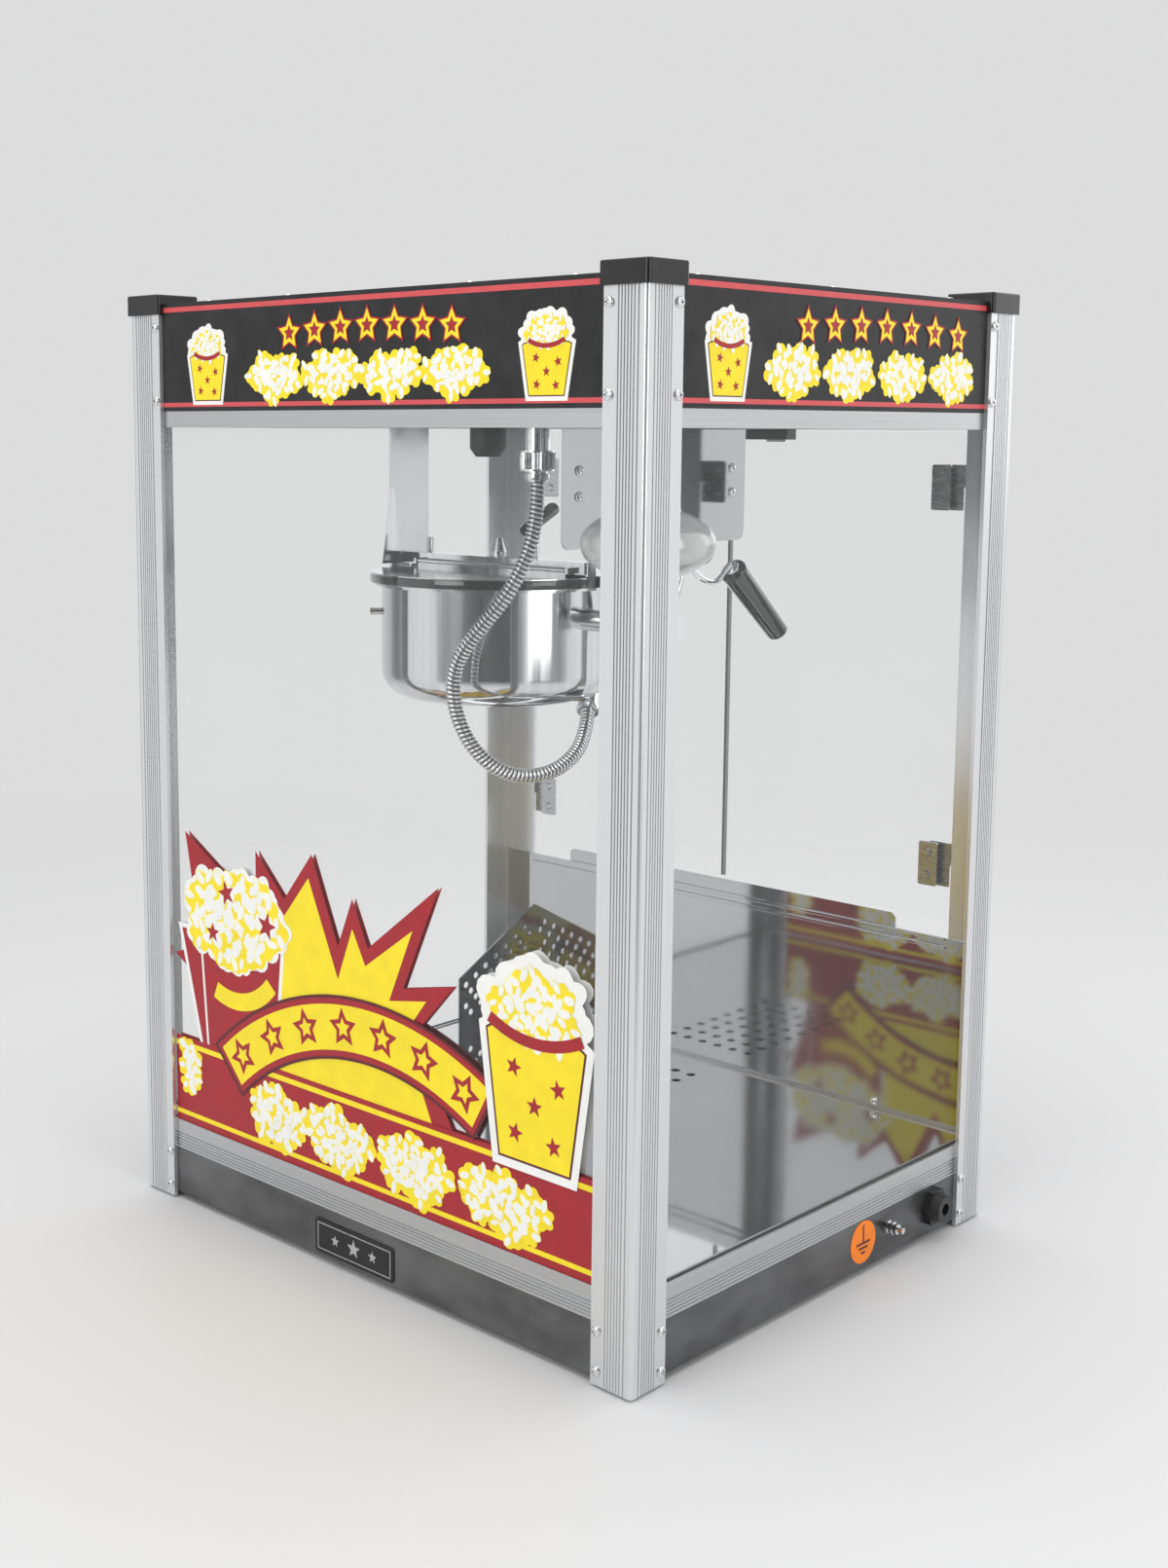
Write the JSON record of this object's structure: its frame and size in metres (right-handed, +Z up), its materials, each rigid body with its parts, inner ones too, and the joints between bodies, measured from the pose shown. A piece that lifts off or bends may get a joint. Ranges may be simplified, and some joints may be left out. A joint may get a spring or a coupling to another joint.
{
  "type": "counter-top popcorn machine",
  "caption": "Counter-top popcorn machine: aluminium-framed glazed cabinet, tilting kettle with stirrer and lids, rear doors, crumb drawer.",
  "frame": {"origin": "centre of the footprint, on the surface that the rubber feet stand on", "axes": "+Z up, -Y towards the customer, +Y towards the operator's doors, +X the customer's right"},
  "size_m": [0.5725, 0.478, 0.7805],
  "materials": {
    "anodised_aluminium": "fluted, satin anodised",
    "black_plastic": "moulded",
    "dark_steel": "satin grey",
    "black_rubber": "matt",
    "sign_print": "printed sheet",
    "black_panel": "satin black",
    "polished_steel": "mirror polished stainless",
    "brushed_steel": "brushed",
    "clear_glass": "clear",
    "frosted_glass": "frosted",
    "lamp_ceramic": "glazed",
    "chrome": "bright",
    "cast_heater": "cast",
    "name_plate": "gloss black",
    "earth_label": "sticker"
  },
  "bodies": {
    "cabinet": {"frame_posts": "anodised_aluminium", "corner_caps": "black_plastic", "bottom_rail_front": "anodised_aluminium", "bottom_rail_rear": "anodised_aluminium", "bottom_rails_side": "anodised_aluminium", "top_rail_front": "anodised_aluminium", "top_rail_rear": "anodised_aluminium", "top_rails_side": "anodised_aluminium", "base_plate": "dark_steel", "rubber_feet": "black_rubber", "skirt_front": "dark_steel", "skirt_left": "dark_steel", "skirt_right": "dark_steel", "skirt_rear": "dark_steel", "sign_front": "sign_print", "side_signs": "sign_print", "control_panel": "black_panel", "top_cover": "black_panel", "ceiling_plate": "polished_steel", "glass_front": "clear_glass", "side_glasses": "clear_glass", "deck": "polished_steel", "corner_guard": "polished_steel", "rear_panel": "polished_steel", "hanger_left": "brushed_steel", "hanger_right": "polished_steel", "lamp_bulb": "frosted_glass", "lamp_holder": "lamp_ceramic", "conduit_fitting": "chrome", "conduit": "chrome", "ceiling_thermostat": "black_plastic", "door_catches": "brushed_steel", "hinge_leaves": "brushed_steel", "drawer_runners": "polished_steel", "switch_bezels": "black_plastic", "frame_screws": "chrome", "earth_stud": "chrome", "cable_gland": "black_plastic", "name_plate": "name_plate", "earth_label": "earth_label"},
    "kettle": {"kettle_shell": "polished_steel", "kettle_pan": "polished_steel", "heater_ring": "cast_heater", "gear_motor": "brushed_steel", "lid_bridge": "polished_steel", "tilt_handle": "chrome", "handle_grip": "black_plastic"},
    "front_lid": {"lid_front": "polished_steel"},
    "rear_lid": {"lid_rear": "polished_steel", "lid_lever": "black_plastic"},
    "stirrer": {"stirrer": "polished_steel"},
    "motor_pinion": {"motor_pinion": "brushed_steel"},
    "left_door": {"door_left_pane": "clear_glass", "door_left_fittings": "brushed_steel"},
    "right_door": {"door_right_pane": "clear_glass", "door_right_fittings": "brushed_steel"},
    "drawer": {"crumb_drawer": "polished_steel"},
    "kettle_switch": {"rocker_kettle": "black_plastic"},
    "stirrer_switch": {"rocker_stirrer": "black_plastic"},
    "lamp_switch": {"rocker_lamp": "black_plastic"}
  },
  "joints": [
    {"name": "kettle_tilt", "type": "hinge", "parent": "cabinet", "child": "kettle", "pos_m": [0, -0.012, 0.516], "axis": [1, 0, 0], "range_deg": [0, 80], "deforming": ["conduit"]},
    {"name": "front_lid_hinge", "type": "hinge", "parent": "kettle", "child": "front_lid", "pos_m": [-0.063, -0.023, 0.556], "axis": [-1, 0, 0], "range_deg": [0, 65]},
    {"name": "rear_lid_hinge", "type": "hinge", "parent": "kettle", "child": "rear_lid", "pos_m": [-0.063, -0.001, 0.556], "axis": [1, 0, 0], "range_deg": [0, 65]},
    {"name": "stirrer_spin", "type": "hinge", "parent": "kettle", "child": "stirrer", "pos_m": [-0.063, -0.012, 0.5], "axis": [0, 0, 1], "continuous": true},
    {"name": "pinion_spin", "type": "hinge", "parent": "kettle", "child": "motor_pinion", "pos_m": [-0.0951, -0.012, 0.48], "axis": [0, 0, 1], "continuous": true},
    {"name": "left_door_hinge", "type": "hinge", "parent": "cabinet", "child": "left_door", "pos_m": [-0.2425, 0.238, 0.46], "axis": [0, 0, 1], "range_deg": [0, 100]},
    {"name": "right_door_hinge", "type": "hinge", "parent": "cabinet", "child": "right_door", "pos_m": [0.2425, 0.238, 0.46], "axis": [0, 0, -1], "range_deg": [0, 100]},
    {"name": "drawer_slide", "type": "slide", "parent": "cabinet", "child": "drawer", "axis": [0, 1, 0], "range_m": [0, 0.25]},
    {"name": "kettle_switch_rock", "type": "hinge", "parent": "cabinet", "child": "kettle_switch", "pos_m": [-0.07, 0.228, 0.73], "axis": [1, 0, 0], "range_deg": [0, 16]},
    {"name": "stirrer_switch_rock", "type": "hinge", "parent": "cabinet", "child": "stirrer_switch", "pos_m": [0, 0.228, 0.73], "axis": [1, 0, 0], "range_deg": [0, 16]},
    {"name": "lamp_switch_rock", "type": "hinge", "parent": "cabinet", "child": "lamp_switch", "pos_m": [0.07, 0.228, 0.73], "axis": [1, 0, 0], "range_deg": [0, 16]}
  ],
  "couplings": [
    {"joint": "pinion_spin", "follows": "stirrer_spin", "ratio": -3}
  ]
}
